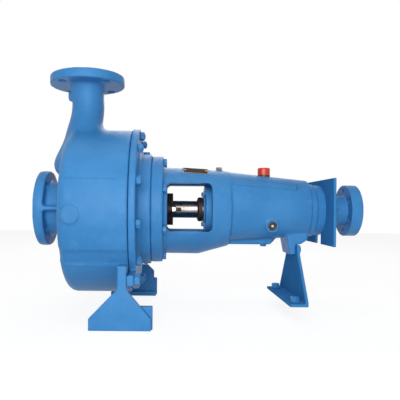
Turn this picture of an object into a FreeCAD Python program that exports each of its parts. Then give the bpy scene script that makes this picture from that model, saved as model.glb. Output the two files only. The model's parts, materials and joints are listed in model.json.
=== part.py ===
import FreeCAD, Part
import math
import os
import Sketcher
from FreeCAD import Placement, Rotation, Vector

# A non-clog centrifugal pump on a bearing frame. Lengths are millimetres.
# X runs along the shaft from the suction flange's face to the coupling, Z is up and the
# discharge points up. The origin is where the shaft axis meets the suction flange's face.

os.makedirs("parts", exist_ok=True)
doc = FreeCAD.newDocument("non_clog_pump")
sheet = doc.addObject("Spreadsheet::Sheet", "sizes")


class Size:
    """A length tied to the sheet: a named size, or a sum or product of some."""

    def __init__(self, text):
        self.text = text

    @staticmethod
    def text_of(other):
        return other.text if isinstance(other, Size) else repr(other)

    def __add__(self, other):
        return Size(f"({self.text} + {self.text_of(other)})")

    def __sub__(self, other):
        return Size(f"({self.text} - {self.text_of(other)})")

    def __mul__(self, other):
        return Size(f"({self.text} * {self.text_of(other)})")

    def __truediv__(self, other):
        return Size(f"({self.text} / {self.text_of(other)})")

    def __neg__(self):
        return Size(f"(0 - {self.text})")

    def __rsub__(self, other):
        return Size(f"({other!r} - {self.text})")

    __radd__ = __add__
    __rmul__ = __mul__


ZERO = Size("0")
ONE = Size("1")


def root(size):
    return Size(f"sqrt({size.text})")


def tangent(size):
    return Size(f"tan({size.text})")


def number(size):
    """The size's present value, to lay out a sketch before its constraints hold it."""
    return float(sheet.evalExpression(Size.text_of(size)))


DRIVING = {
    # Pipe flanges, suction and discharge alike: a 3 inch flange with four holes.
    "flange_radius": 95.25, "flange_thick": 24, "flange_bolt_circle": 76.2, "flange_hole": 9.5,
    "flange_holes": 4, "suction_bore": 39, "suction_neck": 67, "discharge_bore": 38,
    "discharge_x": 115, "discharge_height": 339,
    # Casing: front wall, depth to the gasket face, outer radius and corner.
    "casing_front": 80, "casing_depth": 157, "casing_radius": 205, "casing_drop": 5.5,
    "casing_corner": 23, "casing_wall": 15, "shoulder_left": 18, "shoulder_bulge": 10,
    "neck_radius": 40.5, "neck_drop": 53, "throat_bore": 31, "flange_rib_thick": 10,
    "pad_radius": 21, "pad_x": 112, "pad_drop": 13, "pad_proud": 1.5, "band_depth": 3,
    "band_turn": 25.6, "band_angle": 10, "gauge_boss": 13, "gauge_boss_x": 66, "gauge_boss_drop": 49,
    # Scroll: a four-centre spiral that opens out by one step each quarter turn.
    "scroll_start": 146, "scroll_step": 12, "scroll_front_gap": 8, "scroll_rear_gap": 5,
    # Back cover and its studs.
    "gasket_thick": 1, "cover_radius": 203, "cover_flange": 16, "cover_hub_radius": 140,
    "cover_hub": 30, "spigot_radius": 139.7, "spigot_wall": 24, "cover_wall": 14, "cover_inset": 77,
    "stud_radius": 6, "stud_circle": 185, "studs": 12, "stud_turn": 10, "stud_depth": 22,
    "nut_flats": 19, "nut_height": 11, "stud_tail": 2,
    # Stuffing box, gland and sleeve.
    "sleeve_radius": 22, "sleeve_bore": 17, "packing_side": 12.7, "packing_rings": 5,
    "lantern_width": 16, "sleeve_gap": 1, "box_barrel": 63, "box_mouth": 25, "gland_gap": 8,
    "gland_flange": 21, "gland_radius": 41, "gland_ear": 64, "gland_stud_offset": 52,
    "gland_step": 3, "gland_stud_radius": 5, "gland_nut_flats": 17, "gland_nut_height": 9,
    "gland_travel": 14, "flinger_radius": 31, "flinger_width": 13, "flinger_bevel": 6,
    # Bearing frame: flange, lantern with windows, collar and oil housing.
    "frame_flange_radius": 135, "frame_flange": 29, "frame_bolts": 8, "frame_bolt_circle": 125,
    "frame_bolt_radius": 5, "frame_bolt_flats": 17, "frame_bolt_head": 8.5, "frame_bolt_depth": 20,
    "lantern_radius": 110, "lantern_drop": 3, "waist_radius": 108.5, "waist_drop": 5,
    "waist_length": 90, "lantern_bore": 84, "window_gap": 10, "window_length": 108,
    "window_top": 63, "window_bottom": 54, "window_corner": 9, "collar_length": 47,
    "collar_radius": 95.5, "collar_rise": 3, "housing_length": 201, "housing_front_radius": 88.5,
    "housing_front_rise": 8.5, "housing_rear_radius": 72, "housing_rear_rise": 4,
    "barrel_setback": 4, "housing_wall": 11, "rail_width": 20, "rail_drop": 89, "rail_length": 122,
    # Bearings: bore, outside, widths and balls.
    "bearing_bore": 22.5, "bearing_radius": 50, "inboard_width": 25, "outboard_width": 40,
    "ball_radius": 8.7, "race_land": 5.05, "cage_land": 3.05,
    "row_ball_radius": 7.2, "row_half_gap": 10, "balls": 8, "ball_gap": 0.3,
    "cage_inset": 1.2, "bearing_shoulder": 5, "outboard_inset": 5,
    # Bearing covers and seals.
    "inboard_cover_radius": 62, "inboard_cover": 16, "inboard_nose": 4, "inboard_nose_radius": 42,
    "cover_screws": 4, "inboard_screw_circle": 56, "screw_radius": 3, "screw_flats": 10,
    "screw_head": 5, "screw_depth": 14, "outboard_cover_radius": 67, "outboard_cover": 35,
    "outboard_flange": 14, "outboard_barrel": 64, "outboard_screw_circle": 57, "seal_radius": 33,
    "seal_width": 9, "lock_nut_radius": 32, "lock_nut": 9, "lock_washer": 2, "lock_chamber": 38,
    # Shaft, impeller and coupling.
    "shaft_mid": 27, "shaft_tail": 19, "shaft_nose": 16, "impeller_radius": 125, "eye_radius": 39,
    "eye_neck": 50, "wear_gap": 0.5, "wear_ring_radius": 56, "wear_ring_width": 14,
    "impeller_front": 98, "outlet_width": 44, "shroud": 7, "hub_radius": 28, "vane_root": 34,
    "vane_thick": 10, "vanes": 2, "hub_rear_gap": 2, "impeller_nut_radius": 24, "impeller_nut": 20,
    "key_width": 8, "key_height": 7, "coupling_gap": 8, "coupling_hub": 49,
    "coupling_hub_radius": 37, "coupling_radius": 65, "coupling_flange": 28, "coupling_holes": 6,
    "coupling_hole": 5.5, "coupling_circle": 50, "shaft_inset": 4,
    # Guard plate behind the coupling.
    "guard_thick": 6, "guard_half_width": 115, "guard_top": 77, "guard_bottom": 86,
    "guard_slot": 20, "guard_bore": 41,
    # Feet. The front feet stand on the floor; the rear one has its own, higher level.
    "shaft_height": 258, "foot_out": 226, "foot_plate": 12, "foot_left": 158, "foot_length": 133,
    "foot_end": 25, "foot_web": 12, "upright_width": 19, "upright_depth": 40, "upright_top": 121,
    "knee_drop": 176, "pedestal_in": 214, "pedestal_height": 50, "foot_base_in": 176,
    "anchor_hole": 9, "anchor_inset": 24, "anchor_edge": 13, "lug_in": 112, "lug_thick": 16,
    "lug_top": 141, "lug_bottom": 165, "foot_bolt_radius": 8, "foot_bolt_out": 204,
    "foot_bolt_flats": 24, "foot_bolt_head": 12, "foot_bolt_depth": 14, "brace_top": 168,
    "brace_length": 47, "brace_bevel": 19, "rear_plate": 7, "rear_plate_x": 653, "rear_base": 43,
    "rear_half_width": 128, "rear_top_half": 56, "rear_top": 86, "rear_drop": 225,
    "rear_lug_half": 40, "rear_lug_length": 18, "rear_lug_drop": 112, "rear_bolt_offset": 28,
    "rear_bolt_drop": 99, "rear_anchor_offset": 100, "rear_lug_flare": 23, "rear_anchor_head": 13,
    # Fittings on the oil housing.
    "cap_x": 572, "cap_radius": 16, "cap_height": 19, "cap_seat_radius": 16, "cap_seat": 4.5,
    "filler_face": 85, "filler_hole": 8, "glass_x": 579, "glass_drop": 39, "glass_boss": 16,
    "glass_rim": 11, "glass_lens": 7, "glass_bore": 5, "glass_rim_width": 5, "glass_face": 77,
    "drain_x": 572, "drain_flats": 14, "drain_head": 5, "plug_shank": 5, "plug_depth": 12,
    "top_plug_x": 456, "top_plug_face": 101, "top_plug_flats": 15, "top_plug_head": 8,
    "plate_x": 362, "plate_length": 62, "plate_width": 34, "plate_thick": 1.2, "plate_turn": 24,
    "plate_tilt": 3.3, "plate_seat": 106.5, "plate_rim": 3, "rivet_radius": 2.5, "rivet_shank": 1.2,
    "rivet_head": 1.2, "rivet_inset": 5, "vent_face": 139, "vent_radius": 8.5, "vent_height": 7,
    # Clearances: fits that touch, running gaps and clearance holes.
    "fit": 0.1, "running": 0.3, "hole_room": 0.5,
}
for row, (name, value) in enumerate(DRIVING.items(), start=1):
    sheet.set(f"A{row}", name)
    sheet.set(f"B{row}", str(value))
    sheet.setAlias(f"B{row}", name)
globals().update({name: Size(f"sizes.{name}") for name in DRIVING})
doc.recompute()

# Stations along the shaft, each from the one before it.
casing_rear = casing_front + casing_depth
cover_front = casing_rear + gasket_thick
cover_step = cover_front + cover_flange
frame_front = cover_step + cover_hub
lantern_front = frame_front + frame_flange
window_front = lantern_front + window_gap
window_rear = window_front + window_length
barrel_front = window_rear + barrel_setback
housing_front = window_rear + collar_length
housing_rear = housing_front + housing_length
guard_front = housing_rear + outboard_cover
guard_rear = guard_front + guard_thick
hub_front = guard_rear + coupling_gap
coupling_step = hub_front + coupling_hub
coupling_face = coupling_step + coupling_flange
floor = -shaft_height

# The wet end's inner stations.
cover_face = cover_front - cover_inset
impeller_back = impeller_front + shroud + outlet_width + shroud
hub_rear = cover_face - hub_rear_gap
box_end = frame_front + box_mouth
box_bore = sleeve_radius + packing_side + fit
box_depth = packing_rings * packing_side + lantern_width + gland_gap
box_floor = box_end - box_depth
packing_end = box_end - gland_gap
gland_front = box_end + gland_gap
gland_rear = gland_front + gland_flange

# The bearings' stations. The balls run midway between bore and outside, and the edges of
# races and cages lie on either side of their pitch.
ball_pitch = (bearing_bore + bearing_radius) / 2
race_inner, race_outer = ball_pitch - race_land, ball_pitch + race_land
cage_inner, cage_outer = ball_pitch - cage_land, ball_pitch + cage_land
inboard_bearing = barrel_front + bearing_shoulder
outboard_bearing = housing_rear - outboard_inset - outboard_width
lock_front = outboard_bearing + outboard_width
cover_nose = barrel_front - inboard_cover - inboard_nose
sleeve_end = cover_nose - inboard_nose / 2
flinger_front = sleeve_end - flinger_width


def plane(part, role):
    """One of a body's own planes or axes."""
    return next(item for item in part.Origin.OriginFeatures if item.Role == role)


def body(name):
    part = doc.addObject("PartDesign::Body", name)
    part.Label = name
    part.Placement = Placement()
    return part


def sketch(part, role, offset=ZERO, turn=None):
    """A sketch on one of the body's planes, moved along its normal and turned in it."""
    made = part.newObject("Sketcher::SketchObject", part.Name + "_sketch")
    made.AttachmentSupport = [(plane(part, role), "")]
    made.MapMode = "FlatFace"
    made.setExpression("AttachmentOffset.Base.z", offset.text)
    if turn is not None:
        made.AttachmentOffset = Placement(Vector(), Rotation(Vector(0, 0, 1), number(turn)))
        made.setExpression("AttachmentOffset.Rotation.Angle", turn.text)
    doc.recompute([made])
    return made


def hold(drawn, geometry, point, u, v):
    """Ties a sketch point to two sizes, measured from the sketch's origin."""
    for kind, size in (("DistanceX", u), ("DistanceY", v)):
        index = drawn.addConstraint(Sketcher.Constraint(kind, -1, 1, geometry, point, number(size)))
        drawn.setExpression(f"Constraints[{index}]", Size.text_of(size))


def circle(drawn, u, v, radius):
    centre = Vector(number(u), number(v), 0)
    index = drawn.addGeometry(Part.Circle(centre, Vector(0, 0, 1), number(radius)), False)
    hold(drawn, index, 3, u, v)
    size = drawn.addConstraint(Sketcher.Constraint("Radius", index, number(radius)))
    drawn.setExpression(f"Constraints[{size}]", Size.text_of(radius))
    return drawn


def arc_between(start, end, radius, side):
    """The shorter arc from start to end, whose centre is on the left (1) or right (-1)."""
    chord = end - start
    across = Vector(-chord.y, chord.x, 0).normalize() * side
    centre = (start + end) * 0.5 + across * math.sqrt(max(radius ** 2 - (chord.Length / 2) ** 2, 0))
    angles = [math.atan2(point.y - centre.y, point.x - centre.x) for point in (start, end)]
    if side < 0:
        angles.reverse()
    return Part.ArcOfCircle(Part.Circle(centre, Vector(0, 0, 1), radius), angles[0], angles[1])


def outline(drawn, corners):
    """Draws a closed outline. A corner is (u, v), or (u, v, radius, side) where an arc starts."""
    spots = [Vector(number(corner[0]), number(corner[1]), 0) for corner in corners]
    ends = []
    for place, corner in enumerate(corners):
        start, end = spots[place], spots[(place + 1) % len(spots)]
        if len(corner) == 2:
            index = drawn.addGeometry(Part.LineSegment(start, end), False)
            ends.append((index, 1, 2))
            continue
        index = drawn.addGeometry(arc_between(start, end, number(corner[2]), corner[3]), False)
        size = drawn.addConstraint(Sketcher.Constraint("Radius", index, number(corner[2])))
        drawn.setExpression(f"Constraints[{size}]", Size.text_of(corner[2]))
        ends.append((index, 1, 2) if corner[3] > 0 else (index, 2, 1))
    for place, corner in enumerate(corners):
        index, first, _ = ends[place]
        before, _, last = ends[place - 1]
        drawn.addConstraint(Sketcher.Constraint("Coincident", before, last, index, first))
        hold(drawn, index, first, corner[0], corner[1])
    return drawn


def rectangle(drawn, left, bottom, right, top):
    return outline(drawn, [(left, bottom), (right, bottom), (right, top), (left, top)])


def hexagon(drawn, u, v, flats):
    half, side = flats / 2, flats / math.sqrt(3)
    return outline(drawn, [(u - half, v - side / 2), (u, v - side), (u + half, v - side / 2),
                           (u + half, v + side / 2), (u, v + side), (u - half, v + side / 2)])


def feature(part, kind, drawn, **bound):
    made = part.newObject("PartDesign::" + kind, f"{part.Name}_{kind.lower()}")
    made.Profile = drawn
    for name, size in bound.items():
        made.setExpression(name, Size.text_of(size))
    return made


def pad(part, drawn, length, reverse=False, midplane=False):
    """Pads a sketch; PartDesign's own rule is that it grows along the sketch's normal."""
    made = feature(part, "Pad", drawn, Length=length)
    made.Reversed = reverse
    made.Midplane = midplane
    return made


def pocket(part, drawn, length=None, reverse=False, midplane=False):
    """Cuts against the sketch's normal, or along it when reversed."""
    made = feature(part, "Pocket", drawn)
    made.Reversed = reverse
    made.Midplane = midplane
    if length is None:
        made.Type = "ThroughAll"
    else:
        made.setExpression("Length", length.text)
    return made


def turn_about_shaft(part, drawn, kind="Revolution"):
    made = feature(part, kind, drawn)
    made.ReferenceAxis = (plane(part, "X_Axis"), [""])
    made.Angle = 360
    return made


def ring_pattern(part, features, count, axis="X_Axis"):
    made = part.newObject("PartDesign::PolarPattern", part.Name + "_pattern")
    made.Originals = features
    made.Axis = (plane(part, axis), [""])
    made.Angle = 360
    made.setExpression("Occurrences", count.text)
    part.Tip = made
    return made


def drum_sketch(part):
    """A sketch in the shaft's upright plane whose level axis is the casing drum's own."""
    made = sketch(part, "XZ_Plane")
    made.setExpression("AttachmentOffset.Base.y", (-casing_drop).text)
    doc.recompute([made])
    return made


def turned(name, corners):
    """A body of revolution about the shaft axis, from an outline of (x, radius) corners."""
    part = body(name)
    turn_about_shaft(part, outline(sketch(part, "XZ_Plane"), corners))
    return part


def ring(name, start, end, inner, outer):
    return turned(name, [(start, inner), (end, inner), (end, outer), (start, outer)])


def groove(part, corners):
    return turn_about_shaft(part, outline(sketch(part, "XZ_Plane"), corners), "Groove")


def hex_ring(name, station, circle_radius, count, flats, head, shank_radius, shank, turn=None):
    """Hex-headed bolts round the shaft: heads stand behind the station, shanks in front."""
    part = body(name)
    heads = pad(part, hexagon(sketch(part, "YZ_Plane", station, turn), ZERO, circle_radius, flats), head)
    made = circle(sketch(part, "YZ_Plane", station, turn), ZERO, circle_radius, shank_radius)
    shanks = pad(part, made, shank, reverse=True)
    ring_pattern(part, [heads, shanks], count)
    return part


def holes(part, station, circle_radius, count, radius, depth, turn=None, forward=False):
    """Round holes in a ring, cut towards the suction side, or away from it when forward."""
    made = circle(sketch(part, "YZ_Plane", station, turn), ZERO, circle_radius, radius)
    return ring_pattern(part, [pocket(part, made, depth, reverse=forward)], count)


def cover_fastenings():
    """The studs that hold the back cover, each screwed into the casing, and their nuts."""
    studs_part, nuts_part = body("cover_studs"), body("cover_nuts")
    made = circle(sketch(studs_part, "YZ_Plane", cover_step + nut_height + stud_tail, stud_turn),
                  ZERO, stud_circle, stud_radius)
    length = stud_tail + nut_height + cover_flange + gasket_thick + stud_depth
    ring_pattern(studs_part, [pad(studs_part, made, length, reverse=True)], studs)
    made = sketch(nuts_part, "YZ_Plane", cover_step, stud_turn)
    hexagon(made, ZERO, stud_circle, nut_flats)
    circle(made, ZERO, stud_circle, stud_radius + fit)
    ring_pattern(nuts_part, [pad(nuts_part, made, nut_height)], studs)
    return [studs_part, nuts_part]


def oval(drawn, centre, half_x, half_y):
    """A slot-shaped section across the nozzle, with ends that are quarter arcs."""
    flat = half_y - half_x
    left, right = centre - half_x, centre + half_x
    return outline(drawn, [(right, -flat), (right, flat, half_x, 1), (centre, half_y, half_x, 1),
                           (left, flat), (left, -flat, half_x, 1), (centre, -half_y, half_x, 1)])


def loft(part, sections, kind="AdditiveLoft", ruled=False):
    made = part.newObject("PartDesign::" + kind, f"{part.Name}_{kind.lower()}")
    made.Profile = sections[0]
    made.Sections = sections[1:]
    made.Ruled = ruled
    return made


# The volute casing: suction flange, body, scroll and discharge nozzle in one casting.
def volute_casing():
    part = turned("volute_casing", [
        (ZERO, ZERO), (casing_front + casing_wall, ZERO), (casing_front + casing_wall, suction_neck),
        (flange_thick, suction_neck), (flange_thick, flange_radius), (ZERO, flange_radius)])
    drum = feature(part, "Revolution", outline(drum_sketch(part), [
        (casing_front, ZERO), (casing_rear, ZERO), (casing_rear, casing_radius),
        (casing_front + casing_corner, casing_radius, casing_corner, 1),
        (casing_front, casing_radius - casing_corner)]))
    drum.ReferenceAxis = (drum.Profile[0], ["H_Axis"])
    recessed_bands(part)
    nozzle(part)
    ribs_and_pad(part)
    casing_passages(part)
    holes(part, flange_thick, flange_bolt_circle, flange_holes, flange_hole, flange_thick,
          turn=Size("45"))
    discharge_holes(part)
    holes(part, casing_rear, stud_circle, studs, stud_radius + fit, stud_depth + fit, turn=stud_turn)
    return part


def recessed_bands(part):
    """The shallow band that runs across the casing's near and far sides, low down."""
    corner = casing_front + casing_corner
    deep = casing_radius - band_depth
    beyond = casing_radius + band_depth
    for side in (1, -1):
        made = sketch(part, "XZ_Plane")
        made.AttachmentOffset = Placement(Vector(), Rotation(Vector(side, 0, 0), 1))
        made.setExpression("AttachmentOffset.Base.y", (-casing_drop).text)
        made.setExpression("AttachmentOffset.Rotation.Angle", (90 * ONE + band_turn).text)
        outline(made, [
            (casing_rear, deep), (casing_rear, beyond), (casing_front - band_depth, beyond),
            (casing_front - band_depth, casing_radius - casing_corner),
            (casing_front + band_depth, casing_radius - casing_corner,
             casing_corner - band_depth, -1),
            (corner, deep)])
        cut = feature(part, "Groove", made, Angle=band_angle)
        cut.ReferenceAxis = (made, ["H_Axis"])
        cut.Reversed = side < 0


def nozzle(part):
    """The discharge neck, which opens into the casing's left shoulder, and its flange."""
    top = discharge_height - flange_thick
    waist = top - neck_drop
    floor_z = casing_radius / 3
    left = casing_front - shoulder_left
    rows = [(top, discharge_x, neck_radius + 5, neck_radius + 8),
            (waist, discharge_x + 2, neck_radius, neck_radius + 3),
            (waist - 30, discharge_x - 1, neck_radius, neck_radius + 8),
            (waist - 62, discharge_x - 4.5, neck_radius + 2, neck_radius + 24),
            (waist - 95, left + neck_radius + 12, neck_radius + 12, neck_radius + 46),
            (waist - 125, left - shoulder_bulge + neck_radius + 12, neck_radius + 12,
             neck_radius + 60),
            (floor_z, left + neck_radius + 24, neck_radius + 10, neck_radius + 70)]
    loft(part, [oval(sketch(part, "XY_Plane", row[0]), *row[1:]) for row in rows])
    pad(part, circle(sketch(part, "XY_Plane", top), discharge_x, ZERO, flange_radius), flange_thick)
    boss_z = discharge_height - gauge_boss_drop
    made = circle(sketch(part, "YZ_Plane", gauge_boss_x), ZERO, boss_z, gauge_boss)
    pad(part, made, discharge_x - gauge_boss_x - 10)


def ribs_and_pad(part):
    """Level ribs behind the suction flange, and the round cast pad on the near side."""
    inner = suction_neck - casing_wall
    for side in (1, -1):
        near, far = sorted((inner * side, flange_radius * side), key=number)
        made = sketch(part, "XY_Plane", -flange_rib_thick / 2)
        rectangle(made, flange_thick / 2, near, casing_front + flange_rib_thick, far)
        pad(part, made, flange_rib_thick)
    made = sketch(part, "XZ_Plane", casing_radius - casing_wall)
    circle(made, pad_x, -pad_drop, pad_radius)
    pad(part, made, casing_wall + pad_proud)


def casing_passages(part):
    """Everything the liquid runs through, and the seats of wear ring and cover."""
    wear_front = impeller_front - shroud - wear_ring_width
    scroll_front = impeller_front - scroll_front_gap / 2
    groove(part, [
        (ZERO, ZERO), (ZERO, suction_bore), (wear_front - 4, suction_bore),
        (wear_front, suction_bore + 8), (wear_front, wear_ring_radius + fit),
        (wear_front + wear_ring_width, wear_ring_radius + fit),
        (scroll_front, wear_ring_radius + fit), (scroll_front, spigot_radius + fit),
        (casing_rear, spigot_radius + fit), (casing_rear, ZERO)])
    made = sketch(part, "YZ_Plane", scroll_front - scroll_front_gap / 2)
    step = scroll_step / 2
    reach = [scroll_start + scroll_step * index for index in range(4)]
    outline(made, [
        (-step, step + reach[0], reach[0], 1), (-step - reach[0], step, reach[1], 1),
        (step, step - reach[1], reach[2], 1), (step + reach[2] - step * 2, step, reach[3], 1),
        (-step, -step + reach[3])])
    pocket(part, made, cover_face + scroll_rear_gap - scroll_front + scroll_front_gap / 2,
           reverse=True)
    top = discharge_height - flange_thick
    waist = top - neck_drop
    rows = [(top, discharge_x, discharge_bore, discharge_bore + 0.5),
            (waist, discharge_x, throat_bore, throat_bore + 0.5),
            (waist - 62, discharge_x, throat_bore + 3, throat_bore + 12),
            (scroll_start - 20, discharge_x + 4, throat_bore + 3, throat_bore + 30)]
    loft(part, [oval(sketch(part, "XY_Plane", row[0]), *row[1:]) for row in rows], "SubtractiveLoft")
    made = circle(sketch(part, "XY_Plane", discharge_height), discharge_x, ZERO, discharge_bore)
    pocket(part, made, flange_thick)


def discharge_holes(part):
    reach = flange_bolt_circle / math.sqrt(2)
    made = sketch(part, "XY_Plane", discharge_height)
    for along in (-1, 1):
        for across in (-1, 1):
            circle(made, discharge_x + reach * along, reach * across, flange_hole)
    pocket(part, made, flange_thick)


# The back cover: flange, spigot, hub and stuffing box in one casting.
def back_cover():
    pocket_radius = spigot_radius - spigot_wall
    part = turned("back_cover", [
        (cover_face, sleeve_radius + sleeve_gap), (cover_face, spigot_radius),
        (cover_front, spigot_radius),
        (cover_front, cover_radius), (cover_step, cover_radius), (cover_step, cover_hub_radius),
        (frame_front, cover_hub_radius), (frame_front, pocket_radius),
        (cover_face + cover_wall, pocket_radius), (cover_face + cover_wall, box_barrel),
        (box_end, box_barrel), (box_end, box_bore), (box_floor, box_bore),
        (box_floor, sleeve_radius + sleeve_gap)])
    for side in (1, -1):
        near, far = sorted((lug_in * side, (foot_out - 4) * side), key=number)
        made = rectangle(sketch(part, "YZ_Plane", cover_front), near, -lug_bottom, far, -lug_top)
        pad(part, made, lug_thick)
        made = sketch(part, "YZ_Plane", cover_front)
        circle(made, foot_bolt_out * side, -(lug_top + lug_bottom) / 2, foot_bolt_radius + hole_room)
        pocket(part, made, lug_thick, reverse=True)
        made = sketch(part, "YZ_Plane", box_end)
        circle(made, gland_stud_offset * side, ZERO, gland_stud_radius + fit)
        pocket(part, made, box_mouth)
    holes(part, cover_step, stud_circle, studs, stud_radius + hole_room, cover_flange, turn=stud_turn)
    holes(part, frame_front, frame_bolt_circle, frame_bolts, frame_bolt_radius + fit,
          frame_bolt_depth, turn=Size("22.5"))
    plug_hole(part, cover_step + cover_hub / 2, vent_face, vent_radius + hole_room)
    return part


def plug_hole(part, x, face, seat_radius):
    """A flat spot-faced seat on the casting's top, with the hole for a plug's shank."""
    made = circle(sketch(part, "XY_Plane", face + plug_depth), x, ZERO, seat_radius)
    pocket(part, made, plug_depth)
    made = circle(sketch(part, "XY_Plane", face), x, ZERO, plug_shank + fit)
    pocket(part, made, plug_depth)


def plug(name, x, face, head, height, depth=plug_depth, down=False):
    """A plug with a head drawn on the sketch it's given, and a shank."""
    part = body(name)
    pad(part, head(sketch(part, "XY_Plane", face)), height, reverse=down)
    made = circle(sketch(part, "XY_Plane", face), x, ZERO, plug_shank)
    pad(part, made, depth - fit, reverse=not down)
    return part


def gland_parts():
    """The gland follower, which slides on two studs, with its nuts."""
    part = ring("gland_follower", packing_end + running, gland_rear,
                sleeve_radius + sleeve_gap, box_bore - 2 * running)
    reach, ear = gland_stud_offset, gland_ear - gland_stud_offset
    waist = gland_radius - gland_step
    made = sketch(part, "YZ_Plane", gland_front)
    outline(made, [(-reach, -ear), (-reach / 2, -waist), (reach / 2, -waist), (reach, -ear, ear, 1),
                   (gland_ear, ZERO, ear, 1), (reach, ear), (reach / 2, waist), (-reach / 2, waist),
                   (-reach, ear, ear, 1), (-gland_ear, ZERO, ear, 1)])
    circle(made, ZERO, ZERO, sleeve_radius + sleeve_gap)
    pad(part, made, gland_flange - gland_step)
    disc = sketch(part, "YZ_Plane", gland_front)
    circle(disc, ZERO, ZERO, gland_radius)
    circle(disc, ZERO, ZERO, sleeve_radius + sleeve_gap)
    pad(part, disc, gland_flange)
    studs_part, nuts_part = body("gland_studs"), body("gland_nuts")
    nut_seat = gland_rear - gland_step
    stud_length = nut_seat - box_end + box_mouth + gland_nut_height + gland_travel
    for side in (1, -1):
        made = sketch(part, "YZ_Plane", nut_seat)
        circle(made, gland_stud_offset * side, ZERO, gland_nut_flats * 0.65)
        pocket(part, made, gland_step, reverse=True)
        made = sketch(part, "YZ_Plane", gland_rear)
        circle(made, gland_stud_offset * side, ZERO, gland_stud_radius + hole_room)
        pocket(part, made, gland_flange)
        made = sketch(studs_part, "YZ_Plane", box_end - box_mouth + fit)
        pad(studs_part, circle(made, gland_stud_offset * side, ZERO, gland_stud_radius), stud_length)
        made = sketch(nuts_part, "YZ_Plane", nut_seat)
        hexagon(made, gland_stud_offset * side, ZERO, gland_nut_flats)
        circle(made, gland_stud_offset * side, ZERO, gland_stud_radius + running)
        pad(nuts_part, made, gland_nut_height)
    return [part, studs_part, nuts_part]


def packing():
    """Packing rings with the lantern ring among them, in the bottom of the box."""
    part = body("packing_rings")
    starts = [box_floor + packing_side * index for index in range(2)]
    starts += [box_floor + packing_side * index + lantern_width for index in range(2, 5)]
    for start in starts:
        made = sketch(part, "XZ_Plane")
        rectangle(made, start + fit, sleeve_radius + fit, start + packing_side - fit, box_bore - fit)
        turn_about_shaft(part, made)
    start = box_floor + packing_side * 2
    end = start + lantern_width
    middle = (start + end) / 2
    waist = box_bore - packing_side / 3
    lantern = turned("lantern_ring", [
        (start + fit, sleeve_radius + 4 * fit), (end - fit, sleeve_radius + 4 * fit),
        (end - fit, box_bore - fit), (middle + lantern_width / 4, box_bore - fit),
        (middle + lantern_width / 4, waist), (middle - lantern_width / 4, waist),
        (middle - lantern_width / 4, box_bore - fit), (start + fit, box_bore - fit)])
    return [part, lantern]


# The bearing frame: flange, lantern arms, collar and oil housing in one casting.
def bearing_frame():
    part = body("bearing_frame")
    made = circle(sketch(part, "YZ_Plane", frame_front), ZERO, ZERO, frame_flange_radius)
    pad(part, made, frame_flange)
    waist = lantern_front + waist_length
    loft(part, [circle(sketch(part, "YZ_Plane", x), ZERO, rise, radius) for x, rise, radius in (
        (lantern_front - 1, -lantern_drop, lantern_radius), (waist, -waist_drop, waist_radius),
        (housing_front, collar_rise, collar_radius))], ruled=True)
    sections = [circle(sketch(part, "YZ_Plane", housing_front - 1), ZERO, housing_front_rise,
                       housing_front_radius),
                circle(sketch(part, "YZ_Plane", housing_rear), ZERO, housing_rear_rise,
                       housing_rear_radius)]
    loft(part, sections)
    housing_pads(part)
    frame_hollows(part)
    made = sketch(part, "XZ_Plane")
    corner = window_corner
    left, right, low, high = window_front, window_rear, -window_bottom, window_top
    outline(made, [
        (left + corner, low), (right - corner, low, corner, 1), (right, low + corner),
        (right, high - corner, corner, 1), (right - corner, high), (left + corner, high, corner, 1),
        (left, high - corner), (left, low + corner, corner, 1)])
    pocket(part, made, lantern_radius * 4, midplane=True)
    holes(part, lantern_front, frame_bolt_circle, frame_bolts, frame_bolt_radius + hole_room,
          frame_flange, turn=Size("22.5"))
    holes(part, barrel_front, inboard_screw_circle, cover_screws, screw_radius + fit, screw_depth,
          turn=Size("45"), forward=True)
    holes(part, housing_rear, outboard_screw_circle, cover_screws, screw_radius + fit, screw_depth,
          turn=Size("45"))
    return part


def plate_height(x):
    """The height of the nameplate's sloping seat above the shaft axis."""
    return plate_seat - (x - plate_x) * tangent(plate_tilt)


def housing_pads(part):
    """The rail and lug under the housing, and the bosses for its fittings."""
    made = sketch(part, "XZ_Plane")
    start, end = housing_front - 8, housing_front + rail_length
    outline(made, [(start, -collar_radius / 2), (start, -rail_drop), (end - 12, -rail_drop),
                   (end, -rail_drop + 12), (end, -collar_radius / 2)])
    pad(part, made, rail_width, midplane=True)
    made = sketch(part, "XZ_Plane")
    lug_right = rear_plate_x - rear_plate
    lug_left = lug_right - rear_lug_length
    buried, flare_end = -housing_rear_radius + 15, rear_plate_x + rear_lug_flare
    over_plate = -rear_top + fit * 5
    outline(made, [(lug_left - 6, buried), (lug_left - 3, -housing_rear_radius - 4),
                   (lug_left + 4, -rear_lug_drop), (lug_right, -rear_lug_drop),
                   (lug_right, over_plate), (rear_plate_x + 6, over_plate),
                   (flare_end, -housing_rear_radius - 2), (flare_end, buried)])
    pad(part, made, rear_lug_half * 2, midplane=True)
    made = circle(sketch(part, "XY_Plane", lantern_bore), top_plug_x, ZERO, top_plug_flats * 0.7)
    pad(part, made, top_plug_face - lantern_bore)
    rows = []
    for x in (plate_x - plate_rim, plate_x + plate_length + plate_rim):
        made = sketch(part, "YZ_Plane", x, plate_turn)
        half = plate_width / 2 + plate_rim
        rows.append(rectangle(made, -half, lantern_bore + plate_rim, half, plate_height(x)))
    loft(part, rows)
    made = circle(sketch(part, "XZ_Plane", housing_rear_radius / 2), glass_x, -glass_drop, glass_boss)
    pad(part, made, glass_face - housing_rear_radius / 2)
    made = circle(sketch(part, "XY_Plane", -rail_drop), drain_x, ZERO, drain_flats * 0.8)
    pad(part, made, housing_rear_radius / 2, reverse=False)


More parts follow.
